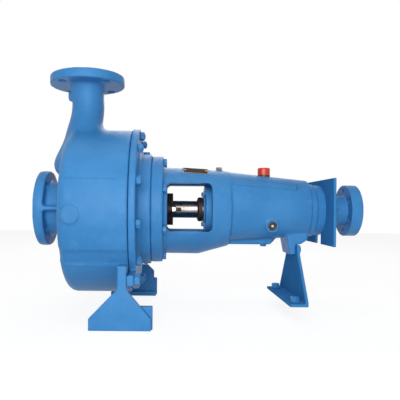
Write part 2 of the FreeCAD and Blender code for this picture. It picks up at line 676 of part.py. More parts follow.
def frame_hollows(part):
    """The lantern's inside, the bearing seats and the oil chamber."""
    seat = bearing_radius + fit
    inboard_end = inboard_bearing + inboard_width + bearing_shoulder
    chamber_front = housing_front_radius - housing_front_rise - housing_wall
    chamber_rear = housing_rear_radius - housing_rear_rise - housing_wall
    chamber_end = outboard_bearing - bearing_shoulder * 2
    groove(part, [
        (frame_front, ZERO), (frame_front, lantern_bore), (barrel_front, lantern_bore),
        (barrel_front, seat), (inboard_end, seat), (inboard_end + 6, chamber_front),
        (chamber_end, chamber_rear), (chamber_end, seat - 5), (outboard_bearing, seat - 5),
        (outboard_bearing, seat), (housing_rear, seat), (housing_rear, ZERO)])
    crown = housing_front_radius + housing_front_rise
    made = circle(sketch(part, "XY_Plane", crown), cap_x, ZERO, cap_radius + 3)
    pocket(part, made, crown - filler_face)
    made = circle(sketch(part, "XY_Plane", filler_face), cap_x, ZERO, filler_hole)
    pocket(part, made, housing_rear_radius / 2)
    plug_hole(part, top_plug_x, top_plug_face, top_plug_flats)
    made = circle(sketch(part, "XY_Plane", -rail_drop), drain_x, ZERO, plug_shank + fit)
    pocket(part, made, plug_depth * 2, reverse=True)
    made = circle(sketch(part, "XZ_Plane", glass_face), glass_x, -glass_drop, glass_rim)
    pocket(part, made, glass_rim_width)
    made = circle(sketch(part, "XZ_Plane", glass_face), glass_x, -glass_drop, glass_bore)
    pocket(part, made, housing_rear_radius / 2)
    for side in (1, -1):
        made = sketch(part, "YZ_Plane", rear_plate_x - rear_plate)
        circle(made, rear_bolt_offset * side, -rear_bolt_drop, screw_radius + 2 + fit)
        pocket(part, made, rear_lug_length * 0.7)


# Bearings: races with a groove for each row of balls, the balls, and their cage.
def race(name, start, width, rows, ball, inner, outer, groove_side):
    """A race with ball grooves on its outer (1) or inner (-1) surface."""
    middle = start + width / 2
    face = outer if groove_side > 0 else inner
    depth = ball_pitch - face if groove_side > 0 else face - ball_pitch
    groove_radius = ball + ball_gap
    reach = root(groove_radius * groove_radius - depth * depth)
    back, end = start, start + width
    if groove_side > 0:
        backwards = []
        for row in reversed(rows):
            backwards += [(middle + row + reach, face, groove_radius, -1), (middle + row - reach, face)]
        return turned(name, [(back, outer), (back, inner), (end, inner), (end, outer)] + backwards)
    forwards = []
    for row in rows:
        forwards += [(middle + row - reach, face, groove_radius, -1), (middle + row + reach, face)]
    return turned(name, [(back, outer), (back, inner)] + forwards + [(end, inner), (end, outer)])


def sphere_ring(part, kind, middle, rows, radius):
    """A ring of balls, or of round pockets for them, for each row."""
    made = []
    for row in rows:
        ball = part.newObject("PartDesign::" + kind, part.Name + "_ball")
        ball.AttachmentSupport = [(plane(part, "XZ_Plane"), "")]
        ball.MapMode = "FlatFace"
        ball.setExpression("Radius", Size.text_of(radius))
        ball.setExpression("AttachmentOffset.Base.x", Size.text_of(middle + row))
        ball.setExpression("AttachmentOffset.Base.y", ball_pitch.text)
        made.append(ball)
    return ring_pattern(part, made, balls)


def bearing(name, start, width, rows, ball):
    middle = start + width / 2
    parts = [race(name + "_outer_race", start, width, rows, ball, race_outer, bearing_radius, -1),
             race(name + "_inner_race", start, width, rows, ball, bearing_bore, race_inner, 1)]
    set_of_balls = body(name + "_balls")
    sphere_ring(set_of_balls, "AdditiveSphere", middle, rows, ball)
    half = width / 2 - cage_inset
    cage = ring(name + "_cage", middle - half, middle + half, cage_inner, cage_outer)
    sphere_ring(cage, "SubtractiveSphere", middle, rows, ball + ball_gap)
    return parts + [set_of_balls, cage]


def bearing_covers():
    inboard = turned("inboard_bearing_cover", [
        (cover_nose, bearing_bore + 1), (cover_nose, inboard_nose_radius),
        (cover_nose + inboard_nose, inboard_nose_radius),
        (cover_nose + inboard_nose, inboard_cover_radius),
        (barrel_front, inboard_cover_radius), (barrel_front, bearing_radius),
        (inboard_bearing, bearing_radius), (inboard_bearing, race_outer + 2),
        (barrel_front - 2, race_outer + 2), (barrel_front - 2, seal_radius + fit),
        (barrel_front - 2 - seal_width, seal_radius + fit),
        (barrel_front - 2 - seal_width, bearing_bore + 1)])
    holes(inboard, cover_nose + inboard_nose, inboard_screw_circle, cover_screws,
          screw_radius + hole_room, inboard_cover, turn=Size("45"), forward=True)
    cover_end = guard_front
    seal_front = cover_end - seal_width - 4
    spigot = housing_rear - outboard_inset
    outboard = turned("outboard_bearing_cover", [
        (spigot, bearing_radius), (housing_rear, bearing_radius),
        (housing_rear, outboard_cover_radius), (housing_rear + outboard_flange, outboard_cover_radius),
        (housing_rear + outboard_flange, outboard_barrel), (cover_end, outboard_barrel),
        (cover_end, seal_radius + fit), (seal_front, seal_radius + fit),
        (seal_front, shaft_tail + 2), (seal_front - 4, shaft_tail + 2),
        (seal_front - 4, lock_chamber), (spigot, lock_chamber)])
    holes(outboard, cover_end, outboard_screw_circle, cover_screws, screw_radius + hole_room,
          outboard_cover, turn=Size("45"))
    seals = [ring("inboard_oil_seal", barrel_front - 2 - seal_width + fit, barrel_front - 2 - fit,
                  bearing_bore + running, seal_radius),
             ring("outboard_oil_seal", seal_front + fit, cover_end - fit,
                  shaft_tail + running, seal_radius)]
    screws = [hex_ring_back("inboard_cover_screws", cover_nose + inboard_nose,
                            inboard_screw_circle, inboard_cover + screw_depth),
              hex_ring("outboard_cover_screws", guard_rear, outboard_screw_circle, cover_screws,
                       screw_flats, screw_head, screw_radius,
                       guard_thick + outboard_cover + screw_depth - fit, turn=Size("45"))]
    return [inboard, outboard] + seals + screws


def hex_ring_back(name, station, circle_radius, shank):
    """Screws whose heads face the suction side."""
    part = body(name)
    made = hexagon(sketch(part, "YZ_Plane", station, Size("45")), ZERO, circle_radius, screw_flats)
    heads = pad(part, made, screw_head, reverse=True)
    made = circle(sketch(part, "YZ_Plane", station, Size("45")), ZERO, circle_radius, screw_radius)
    ring_pattern(part, [heads, pad(part, made, shank - fit)], cover_screws)
    return part


# The rotor: shaft, impeller, sleeve, flinger, lock nut and coupling half.
def shaft():
    nose_end = impeller_front + shroud - impeller_nut / 2
    part = turned("shaft", [
        (nose_end, ZERO), (nose_end, shaft_nose - 4), (nose_end + impeller_nut, shaft_nose - 4),
        (nose_end + impeller_nut, shaft_nose), (hub_rear, shaft_nose), (hub_rear, sleeve_bore - fit),
        (sleeve_end, sleeve_bore - fit), (sleeve_end, bearing_bore),
        (inboard_bearing + inboard_width, bearing_bore),
        (inboard_bearing + inboard_width, shaft_mid), (outboard_bearing, shaft_mid),
        (outboard_bearing, bearing_bore), (lock_front + lock_washer + lock_nut + 1, bearing_bore),
        (lock_front + lock_washer + lock_nut + 1, shaft_tail),
        (coupling_face - shaft_inset, shaft_tail), (coupling_face - shaft_inset, ZERO)])
    keyways(part, hub_rear - 36, hub_rear - 6, shaft_nose)
    keyways(part, hub_front + 6, coupling_face - 14, shaft_tail)
    return part


def keyways(part, start, end, radius):
    """A keyway milled into the top of the shaft."""
    made = sketch(part, "XY_Plane", radius)
    rectangle(made, start, -key_width / 2, end, key_width / 2)
    pocket(part, made, key_height / 2)


def key(name, start, end, radius):
    part = body(name)
    made = sketch(part, "XY_Plane", radius - key_height / 2 + fit)
    rectangle(made, start + fit, -key_width / 2 + fit, end - fit, key_width / 2 - fit)
    pad(part, made, key_height - 2 * fit)
    return part


def impeller():
    """A closed impeller with two long vanes, each half of a ring set off the shaft's centre."""
    front_inner = impeller_front + shroud
    back_inner = front_inner + outlet_width
    bore = shaft_nose + fit
    wear_front = impeller_front - shroud - wear_ring_width + 2
    part = turned("impeller", [
        (front_inner + shroud, bore), (hub_rear, bore), (hub_rear, hub_radius + 4),
        (impeller_back, hub_radius + 14), (impeller_back, impeller_radius),
        (back_inner, impeller_radius), (back_inner - 4, hub_radius + 26),
        (back_inner - 14, hub_radius + 4), (front_inner + shroud, hub_radius - 4)])
    made = sketch(part, "XZ_Plane")
    outline(made, [(wear_front, eye_radius), (wear_front, eye_neck), (impeller_front - 1, eye_neck),
                   (impeller_front, eye_neck + 8), (impeller_front + 2, impeller_radius),
                   (front_inner + 2, impeller_radius), (front_inner, eye_neck + 6),
                   (impeller_front, eye_radius)])
    reach = (impeller_radius + vane_root) / 2
    offset = (impeller_radius - vane_root) / 2
    inner = reach - vane_thick
    drawn = sketch(part, "YZ_Plane", front_inner - 1)
    outline(drawn, [
        (ZERO, offset - reach, reach, 1), (reach, offset, reach, 1), (ZERO, offset + reach),
        (ZERO, offset + inner, inner, -1), (inner, offset, inner, -1), (ZERO, offset - inner)])
    vane = pad(part, drawn, outlet_width + 2)
    ring_pattern(part, [vane], vanes)
    turn_about_shaft(part, made)
    made = sketch(part, "XY_Plane", shaft_nose - 1)
    rectangle(made, hub_rear - 36, -key_width / 2, hub_rear, key_width / 2)
    pocket(part, made, key_height / 2 + 1, reverse=True)
    return part


def impeller_nut_part():
    """A domed nut that holds the impeller on the shaft's threaded nose."""
    start = impeller_front + shroud - impeller_nut / 2
    end = impeller_front + shroud + shroud
    return turned("impeller_nut", [
        (start - 12, ZERO), (start - 8, impeller_nut_radius / 2), (start, impeller_nut_radius - 3),
        (end, impeller_nut_radius - 1), (end, shaft_nose - 4 + fit), (start, shaft_nose - 4 + fit),
        (start - fit, ZERO)])


def coupling_half():
    part = turned("coupling_half", [
        (hub_front, shaft_tail + fit), (hub_front, coupling_hub_radius),
        (coupling_step, coupling_hub_radius), (coupling_step, coupling_radius),
        (coupling_face, coupling_radius), (coupling_face, shaft_tail + fit)])
    holes(part, coupling_face, coupling_circle, coupling_holes, coupling_hole, coupling_flange)
    made = sketch(part, "XY_Plane", shaft_tail - 1)
    rectangle(made, hub_front, -key_width / 2, coupling_face, key_width / 2)
    pocket(part, made, key_height / 2 + 1, reverse=True)
    made = sketch(part, "XZ_Plane", coupling_hub_radius + 1)
    circle(made, hub_front + coupling_hub / 2, ZERO, screw_radius + fit)
    pocket(part, made, coupling_hub_radius - shaft_tail + 1)
    screw = body("coupling_set_screw")
    made = sketch(screw, "XZ_Plane", shaft_tail + fit)
    circle(made, hub_front + coupling_hub / 2, ZERO, screw_radius)
    pad(screw, made, coupling_hub_radius - shaft_tail - 2)
    return [part, screw]


def lock_nut_and_washer():
    washer = ring("bearing_lock_washer", lock_front + fit, lock_front + lock_washer,
                  bearing_bore + fit, lock_nut_radius - 1)
    nut = ring("bearing_lock_nut", lock_front + lock_washer, lock_front + lock_washer + lock_nut,
               bearing_bore + fit, lock_nut_radius)
    made = sketch(nut, "YZ_Plane", lock_front + lock_washer)
    rectangle(made, -3 * ONE, lock_nut_radius - 3, 3 * ONE, lock_nut_radius + 1)
    ring_pattern(nut, [pocket(nut, made, lock_nut, reverse=True)], Size("4"))
    return [washer, nut]


# Feet.
def front_foot(name, side):
    """A bracket foot: base plate, outer gusset, upright to the cover's lug and inner wall.
    The far foot's inner wall has a chamfered brace that rises behind the lug."""
    part = body(name)
    right = foot_left + foot_length
    upright_right = casing_rear + gasket_thick - fit
    upright_left = upright_right - upright_width
    knee = -knee_drop

    def along(offset_in, offset_out):
        """A sketch on the plane nearest the shaft, and how far to pad away from it."""
        if side < 0:
            return sketch(part, "XZ_Plane", offset_in), offset_out - offset_in, False
        return sketch(part, "XZ_Plane", -offset_in), offset_out - offset_in, True

    drawn, thick, reverse = along(foot_out - foot_web, foot_out)
    outline(drawn, [(foot_left, floor), (right, floor), (right, floor + foot_end),
                    (upright_right + 4, knee), (upright_right, knee + 10),
                    (upright_right, -upright_top), (upright_left, -upright_top),
                    (upright_left, knee + 6), (foot_left, floor + foot_end)])
    pad(part, drawn, thick, reverse)
    drawn, thick, reverse = along(foot_out - upright_depth, foot_out)
    rectangle(drawn, upright_left, knee - 2, upright_right, -upright_top)
    pad(part, drawn, thick, reverse)
    drawn, thick, reverse = along(foot_base_in, foot_out)
    rectangle(drawn, foot_left, floor, right, floor + foot_plate)
    pad(part, drawn, thick, reverse)
    drawn, thick, reverse = along(pedestal_in - foot_web, pedestal_in)
    wall_top = floor + pedestal_height
    if side < 0:
        rectangle(drawn, upright_left, floor, right + 3, wall_top)
    else:
        brace_right = upright_right + brace_length
        outline(drawn, [(upright_left, floor), (right + 3, floor), (right + 3, wall_top),
                        (brace_right, wall_top), (brace_right, -brace_top - brace_bevel),
                        (brace_right - brace_bevel, -brace_top), (upright_left, -brace_top)])
    pad(part, drawn, thick, reverse)
    drawn, thick, reverse = along(pedestal_in - foot_web, foot_out)
    rectangle(drawn, upright_left + 2, floor, upright_right - 2, knee)
    pad(part, drawn, thick, reverse)
    for x in (foot_left + anchor_inset, right - anchor_inset):
        made = sketch(part, "XY_Plane", floor + foot_plate)
        circle(made, x, (foot_base_in + anchor_edge) * side, anchor_hole)
        pocket(part, made, foot_plate)
    made = sketch(part, "YZ_Plane", upright_right)
    circle(made, foot_bolt_out * side, -(lug_top + lug_bottom) / 2, foot_bolt_radius + fit)
    pocket(part, made, foot_bolt_depth)
    return part


def foot_bolts():
    part = body("front_foot_bolts")
    seat = cover_front + lug_thick
    for side in (1, -1):
        made = sketch(part, "YZ_Plane", seat)
        hexagon(made, foot_bolt_out * side, -(lug_top + lug_bottom) / 2, foot_bolt_flats)
        pad(part, made, foot_bolt_head)
        made = sketch(part, "YZ_Plane", seat)
        circle(made, foot_bolt_out * side, -(lug_top + lug_bottom) / 2, foot_bolt_radius)
        pad(part, made, lug_thick + foot_bolt_depth - 2 * fit, reverse=True)
    return part


def rear_foot():
    """A bent plate: a tapering upright behind the frame's lug and a base towards the casing."""
    part = body("rear_support_foot")
    base = -rear_drop
    made = sketch(part, "YZ_Plane", rear_plate_x - rear_plate)
    outline(made, [(-rear_half_width, base), (rear_half_width, base),
                   (rear_half_width, base + foot_plate), (rear_top_half, -rear_lug_drop),
                   (rear_top_half - 3, -rear_top), (-rear_top_half + 3, -rear_top),
                   (-rear_top_half, -rear_lug_drop), (-rear_half_width, base + foot_plate)])
    pad(part, made, rear_plate)
    made = sketch(part, "XY_Plane", base)
    rectangle(made, rear_plate_x - rear_base, -rear_half_width, rear_plate_x, rear_half_width)
    pad(part, made, rear_plate)
    anchors = body("rear_anchor_bolts")
    anchor_x = rear_plate_x - (rear_base + rear_plate) / 2
    bolts = body("rear_foot_bolts")
    for side in (1, -1):
        made = sketch(part, "YZ_Plane", rear_plate_x)
        circle(made, rear_bolt_offset * side, -rear_bolt_drop, screw_radius + 2 + hole_room)
        pocket(part, made, rear_plate)
        made = sketch(part, "XY_Plane", base + rear_plate)
        circle(made, anchor_x, rear_anchor_offset * side, anchor_hole - 2)
        pocket(part, made, rear_plate)
        made = sketch(anchors, "XY_Plane", base + rear_plate)
        hexagon(made, anchor_x, rear_anchor_offset * side, nut_flats)
        pad(anchors, made, rear_anchor_head)
        made = sketch(anchors, "XY_Plane", base + rear_plate)
        pad(anchors, circle(made, anchor_x, rear_anchor_offset * side, stud_radius),
            rear_plate - running, reverse=True)
        made = sketch(bolts, "YZ_Plane", rear_plate_x)
        hexagon(made, rear_bolt_offset * side, -rear_bolt_drop, frame_bolt_flats)
        pad(bolts, made, screw_head + 2)
        made = sketch(bolts, "YZ_Plane", rear_plate_x)
        pad(bolts, circle(made, rear_bolt_offset * side, -rear_bolt_drop, screw_radius + 2),
            rear_plate + rear_lug_length * 0.7 - fit, reverse=True)
    return [part, anchors, bolts]


def guard_plate():
    """The plate for the coupling guard, held by the screws of the outboard cover."""
    part = body("guard_plate")
    made = sketch(part, "YZ_Plane", guard_front)
    rectangle(made, -guard_half_width, -guard_bottom, guard_half_width, guard_top)
    pad(part, made, guard_thick)
    made = circle(sketch(part, "YZ_Plane", guard_rear), ZERO, ZERO, guard_bore)
    pocket(part, made, guard_thick)
    made = rectangle(sketch(part, "YZ_Plane", guard_rear), -guard_slot, -guard_bottom - 1, guard_slot, ZERO)
    pocket(part, made, guard_thick)
    holes(part, guard_rear, outboard_screw_circle, cover_screws, screw_radius + hole_room,
          guard_thick, turn=Size("45"))
    return part


# Small fittings.
def oil_fittings():
    cap = body("oil_filler_cap")
    seat_top = filler_face + cap_seat
    pad(cap, circle(sketch(cap, "XY_Plane", seat_top), cap_x, ZERO, cap_radius), cap_height)
    made = circle(sketch(cap, "XY_Plane", seat_top), cap_x, ZERO, filler_hole - 3)
    pad(cap, made, cap_seat + plug_depth, reverse=True)
    neck = body("oil_filler_neck")
    made = circle(sketch(neck, "XY_Plane", filler_face), cap_x, ZERO, cap_seat_radius)
    circle(made, cap_x, ZERO, filler_hole - 2)
    pad(neck, made, cap_seat)
    rim = body("sight_glass_rim")
    seat = glass_face - glass_rim_width
    made = circle(sketch(rim, "XZ_Plane", seat), glass_x, -glass_drop, glass_rim - fit)
    circle(made, glass_x, -glass_drop, glass_lens)
    pad(rim, made, glass_rim_width + 2)
    lens = body("sight_glass_lens")
    made = circle(sketch(lens, "XZ_Plane", seat), glass_x, -glass_drop, glass_lens - fit)
    pad(lens, made, glass_rim_width)
    drain = plug("oil_drain_plug", drain_x, -rail_drop,
                 lambda drawn: hexagon(drawn, drain_x, ZERO, drain_flats), drain_head,
                 depth=plug_depth * 2, down=True)
    top = plug("frame_top_plug", top_plug_x, top_plug_face,
               lambda drawn: hexagon(drawn, top_plug_x, ZERO, top_plug_flats), top_plug_head)
    vent_x = cover_step + cover_hub / 2
    vent = plug("cover_vent_plug", vent_x, vent_face,
                lambda drawn: circle(drawn, vent_x, ZERO, vent_radius), vent_height)
    return [cap, neck, rim, lens, drain, top, vent]


def on_plate_seat(part, lift):
    """A sketch lying on the nameplate's sloping seat, or lifted off it."""
    made = part.newObject("Sketcher::SketchObject", part.Name + "_sketch")
    made.AttachmentSupport = [(plane(part, "XY_Plane"), "")]
    made.MapMode = "FlatFace"
    made.AttachmentOffset = Placement(Vector(), Rotation(Vector(0, 1, 0), 1))
    made.setExpression("AttachmentOffset.Rotation.Angle", plate_tilt.text)
    made.setExpression("AttachmentOffset.Base.x", (plate_x + lift * tangent(plate_tilt)).text)
    made.setExpression("AttachmentOffset.Base.z", (plate_seat + lift).text)
    doc.recompute([made])
    return made


def nameplate():
    """A bare plate on the seat cast on the upper arm's near shoulder, with two rivets."""
    plate, rivets = body("nameplate"), body("nameplate_rivets")
    made = rectangle(on_plate_seat(plate, ZERO), ZERO, -plate_width / 2, plate_length, plate_width / 2)
    pad(plate, made, plate_thick)
    for x in (rivet_inset, plate_length - rivet_inset):
        pocket(plate, circle(on_plate_seat(plate, plate_thick * 2), x, ZERO, rivet_shank + fit))
        head = circle(on_plate_seat(rivets, plate_thick), x, ZERO, rivet_radius)
        pad(rivets, head, rivet_head)
        made = circle(on_plate_seat(rivets, plate_thick), x, ZERO, rivet_shank)
        pad(rivets, made, plate_thick, reverse=True)
    for part in (plate, rivets):
        part.Placement = Placement(Vector(), Rotation(Vector(1, 0, 0), number(plate_turn)))
        part.setExpression("Placement.Rotation.Angle", plate_turn.text)
    return [plate, rivets]


subparts = [
    volute_casing(), back_cover(), bearing_frame(),
    ring("casing_wear_ring", impeller_front - shroud - wear_ring_width + fit,
         impeller_front - shroud, eye_neck + wear_gap, wear_ring_radius),
    ring("cover_gasket", casing_rear, cover_front, spigot_radius + 2 * fit, stud_circle - 12),
    hex_ring("frame_bolts", lantern_front, frame_bolt_circle, frame_bolts, frame_bolt_flats,
             frame_bolt_head, frame_bolt_radius, frame_flange + frame_bolt_depth - fit,
             turn=Size("22.5")),
    shaft(), impeller(), impeller_nut_part(),
    key("impeller_key", hub_rear - 36, hub_rear - 6, shaft_nose),
    ring("shaft_sleeve", hub_rear, sleeve_end, sleeve_bore, sleeve_radius),
    turned("flinger_ring", [(flinger_front, sleeve_radius + fit), (sleeve_end, sleeve_radius + fit),
                            (sleeve_end, flinger_radius), (flinger_front + 3, flinger_radius),
                            (flinger_front, flinger_radius - flinger_bevel)]),
    key("coupling_key", hub_front + 6, coupling_face - 14, shaft_tail),
    front_foot("front_foot_near", -1), front_foot("front_foot_far", 1), foot_bolts(), guard_plate()]
subparts += cover_fastenings() + gland_parts() + packing() + bearing_covers() + coupling_half()
subparts += lock_nut_and_washer()
subparts += bearing("inboard", inboard_bearing, inboard_width, [ZERO], ball_radius)
subparts += bearing("outboard", outboard_bearing, outboard_width, [-row_half_gap, row_half_gap],
                    row_ball_radius)
subparts += rear_foot() + oil_fittings() + nameplate()

doc.recompute()
failed = [item.Label for item in doc.Objects if "Invalid" in item.State or "Error" in item.State]
if failed:
    raise RuntimeError("these objects failed: " + ", ".join(failed))
for part in subparts:
    if part.Shape.isNull() or not part.Shape.isValid() or not part.Shape.Solids:
        raise RuntimeError(part.Label + " has no valid solid")
for part in subparts:
    part.Shape.exportStep(f"parts/{part.Label}.step")
print(len(subparts), "sub-parts,", sum(len(part.Shape.Solids) for part in subparts), "solids")
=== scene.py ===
# %% [markdown]
# # A non-clog centrifugal pump
# A cast pump painted in one blue enamel is mostly about three things: soft cast edges,
# paint that is a little uneven, and rows of equal fasteners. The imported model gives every
# piece its place and size, in metres, and this file dresses it.

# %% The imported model
import json
import math

import bmesh
import bpy
from mathutils import Matrix, Vector


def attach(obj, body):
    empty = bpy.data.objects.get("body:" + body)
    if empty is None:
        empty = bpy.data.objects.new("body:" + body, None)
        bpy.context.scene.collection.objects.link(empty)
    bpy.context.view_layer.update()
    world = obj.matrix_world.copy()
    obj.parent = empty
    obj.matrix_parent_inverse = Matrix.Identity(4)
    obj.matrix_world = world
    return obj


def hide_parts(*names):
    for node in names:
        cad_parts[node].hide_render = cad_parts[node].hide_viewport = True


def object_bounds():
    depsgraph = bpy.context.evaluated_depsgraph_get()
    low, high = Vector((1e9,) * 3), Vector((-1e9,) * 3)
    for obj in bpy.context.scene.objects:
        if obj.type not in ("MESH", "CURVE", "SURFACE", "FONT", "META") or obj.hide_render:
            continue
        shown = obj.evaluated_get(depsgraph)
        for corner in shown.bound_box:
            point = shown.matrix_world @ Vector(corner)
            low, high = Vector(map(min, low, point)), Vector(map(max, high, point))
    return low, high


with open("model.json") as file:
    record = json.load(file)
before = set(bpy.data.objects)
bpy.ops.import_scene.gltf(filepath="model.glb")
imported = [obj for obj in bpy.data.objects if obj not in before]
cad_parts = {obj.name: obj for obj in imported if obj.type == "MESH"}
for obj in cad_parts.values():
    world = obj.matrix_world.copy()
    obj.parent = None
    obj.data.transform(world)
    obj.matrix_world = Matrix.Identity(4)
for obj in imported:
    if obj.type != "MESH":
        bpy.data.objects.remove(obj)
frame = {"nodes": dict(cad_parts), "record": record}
cad_box = [list(corner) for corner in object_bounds()]
nodes = frame["nodes"]
print("CAD box", [[round(value, 3) for value in corner] for corner in cad_box])

# %% [markdown]
# ## Camera
# The photograph was taken from the side, level with the shaft and about 1.2 m from it, so
# the two flanges show as ovals. The camera stands at the lantern window's middle. A lens
# shift, not a turn, puts the pump where it is in the picture, which is rolled by half a
# degree, as the photograph is.

# %% Camera
camera_place = (0.325, -1.214, 0.0025)
focal_length = 42.2
picture_shift = (0.08, 0.0203)
picture_roll = math.radians(0.5)

camera = bpy.data.objects.new("camera", bpy.data.cameras.new("camera"))
bpy.context.scene.collection.objects.link(camera)
camera.data.sensor_width = 36
camera.data.lens = focal_length
camera.data.shift_x, camera.data.shift_y = picture_shift
turn = Matrix.Rotation(math.radians(90), 4, "X") @ Matrix.Rotation(picture_roll, 4, "Z")
camera.matrix_world = Matrix.Translation(camera_place) @ turn
bpy.context.scene.camera = camera
bpy.context.scene.view_settings.view_transform = "Standard"
print("camera", round(-camera_place[1], 2), "m from the shaft")

# %% [markdown]
# ## Shader maths
# A wire is a socket of a material. Arithmetic on wires adds the Math nodes it needs, so a
# pattern can be written as a sum. Everything else comes from one method, `node`, which
# takes the node's type, its settings and what goes into its sockets.

# %% Wires and finishes
class Wire:
    def __init__(self, finish, socket):
        self.finish, self.socket = finish, socket

    def maths(self, operation, *inputs):
        return self.finish.node("ShaderNodeMath", {"operation": operation}, inputs)

    def __add__(self, other):
        return self.maths("ADD", self, other)

    def __sub__(self, other):
        return self.maths("SUBTRACT", self, other)

    def __rsub__(self, other):
        return self.maths("SUBTRACT", other, self)

    def __mul__(self, other):
        return self.maths("MULTIPLY", self, other)

    def __truediv__(self, other):
        return self.maths("DIVIDE", self, other)

    def __neg__(self):
        return 0.0 - self

    def without_sign(self):
        return self.maths("ABSOLUTE", self)

    def or_higher(self, other):
        return self.maths("MAXIMUM", self, other)

    def between(self, low, high):
        """0 below low, 1 above high, and a smooth slope between them."""
        return self.finish.node("ShaderNodeMapRange", {"interpolation_type": "SMOOTHSTEP"},
                                {"Value": self, "From Min": low, "From Max": high})

    def band(self, start, full, fading, end):
        """0 before start, 1 from full to fading, and 0 again after end."""
        return self.between(start, full) * (1.0 - self.between(fading, end))

    __radd__ = __add__
    __rmul__ = __mul__


class Finish:
    def __init__(self, name):
        self.material = bpy.data.materials.new(name)
        self.material.use_nodes = True
        self.tree = self.material.node_tree
        self.surface = self.tree.nodes["Principled BSDF"]
        self.where = self.node("ShaderNodeTexCoord", output="Object")

    def node(self, kind, settings=None, inputs=(), output=0):
        made = self.tree.nodes.new(kind)
        for name, value in (settings or {}).items():
            setattr(made, name, value)
        pairs = inputs.items() if isinstance(inputs, dict) else enumerate(inputs)
        for place, value in pairs:
            if isinstance(value, Wire):
                self.tree.links.new(value.socket, made.inputs[place])
            else:
                made.inputs[place].default_value = value
        return Wire(self, made.outputs[output])

    def noise(self, scale, detail=3.0, roughness=0.5):
        """Noise in the object's own space. A scale of 100 gives lumps of 10 mm."""
        return self.node("ShaderNodeTexNoise", inputs={
            "Vector": self.where, "Scale": scale, "Detail": detail, "Roughness": roughness})

    def mix(self, share, first, second):
        """One colour turning into another as share goes from 0 to 1."""
        first, second = [colour if isinstance(colour, Wire) else (*colour, 1.0)
                         for colour in (first, second)]
        return self.node("ShaderNodeMix", {"data_type": "RGBA"},
                         {0: share, 6: first, 7: second}, output=2)

    def bump(self, height, depth):
        """A skin that rises by this depth in metres where height goes from 0 to 1."""
        return self.node("ShaderNodeBump", inputs={
            "Strength": 1.0, "Distance": depth, "Height": height})

    def set(self, **sockets):
        for name, value in sockets.items():
            socket = self.surface.inputs[name.replace("_", " ")]
            if isinstance(value, Wire):
                self.tree.links.new(value.socket, socket)
            else:
                socket.default_value = value
        return self.material


# %% [markdown]
# ## Low relief under the paint
# Three low shapes of the mould show on the near side: a round pad and a parting seam on the
# casing, and a bare strip along the housing. They are too flat to show in the outline, so
# each is a mask in the object's own space, and the Bump node adds its height to the paint.

# %% Low relief under the paint
# Places are in metres: x runs along the shaft, z up from it, and y is negative on the near
# side. Two numbers are the start and end of a slope, and four are those of a band.
near_side = (0.10, 0.12)
pad_middle, pad_edge, pad_height = (0.112, -0.013), (0.0200, 0.0215), 0.0010
seam_level, seam_edge, seam_depth = 0.067, (0.0004, 0.0018), 0.0009
seam_span = (0.085, 0.100, 0.205, 0.212)
strip_axis_fall, strip_axis_level, strip_height = 0.025, 0.020, 0.003
strip_steepness = (0.74, 0.77, 1.29, 1.35)
strip_span = (0.482, 0.486, 0.642, 0.646)


def place_on(paint):
    return [paint.node("ShaderNodeSeparateXYZ", inputs=(paint.where,), output=axis)
            for axis in "XYZ"]


def pad_and_seam(paint):
    """The height of the casing's round pad, less the depth of the seam above it."""
    x, y, z = place_on(paint)
    gap = paint.node("ShaderNodeCombineXYZ", inputs=(x - pad_middle[0], 0.0, z - pad_middle[1]))
    from_pad = paint.node("ShaderNodeVectorMath", {"operation": "LENGTH"}, (gap,), output="Value")
    pad = 1.0 - from_pad.between(*pad_edge)
    seam = 1.0 - (z - seam_level).without_sign().between(*seam_edge)
    seam = seam * x.band(*seam_span)
    return (pad * pad_height - seam * seam_depth) * (-y).between(*near_side)


def raised_strip(paint):
    """The height of the strip, whose edges lie at two slopes up from the housing's axis."""
    x, y, z = place_on(paint)
    steepness = (z + x * strip_axis_fall - strip_axis_level) / -y
    return steepness.band(*strip_steepness) * x.band(*strip_span) * strip_height


# %% [markdown]
# ## Blue enamel
# The pump was sprayed in one colour over rough castings. The colour drifts a little where
# the coat is thicker, the sand of the mould shows as a fine pebbled skin, and the gloss is
# lower where dust has dried in. The rear foot and the guard plate got a thin coat that
# dried dull.

# %% Blue enamel
deep_blue, light_blue = (0.038, 0.200, 0.468), (0.053, 0.238, 0.528)
dusty_blue = (0.24, 0.42, 0.60)


def blue_enamel(name, grain, depth, relief=None, gloss=0.14):
    """The paint, over a skin whose grain has this scale and this depth in metres."""
    paint = Finish(name)
    drift = paint.noise(7, 4, 0.6)
    pebble = paint.noise(grain, 5, 0.6)
    dust = paint.noise(34, 6, 0.7).between(0.52, 0.75)
    waves = paint.noise(38, 2)
    colour = paint.mix(drift.between(0.3, 0.7), deep_blue, light_blue)
    height = pebble + waves * 1.5
    if relief:
        height = height + relief(paint) * (1 / depth)
    return paint.set(Base_Color=paint.mix(dust * 0.12, colour, dusty_blue),
                     Roughness=pebble * 0.16 + dust * 0.16 + 0.30,
                     Normal=paint.bump(height, depth), Specular_IOR_Level=gloss)


cast_enamel = blue_enamel("cast_enamel", 210, 0.0007)
casing_enamel = blue_enamel("casing_enamel", 210, 0.0007, pad_and_seam)
frame_enamel = blue_enamel("frame_enamel", 210, 0.0007, raised_strip)
plate_enamel = blue_enamel("plate_enamel", 320, 0.00025)
dull_enamel = blue_enamel("dull_enamel", 320, 0.00025, gloss=0.0)

# %% [markdown]
# ## Bare metals
# Turned and ground metal carries fine rings round the shaft. They are a wave pattern along
# X, so every turned piece can share it.

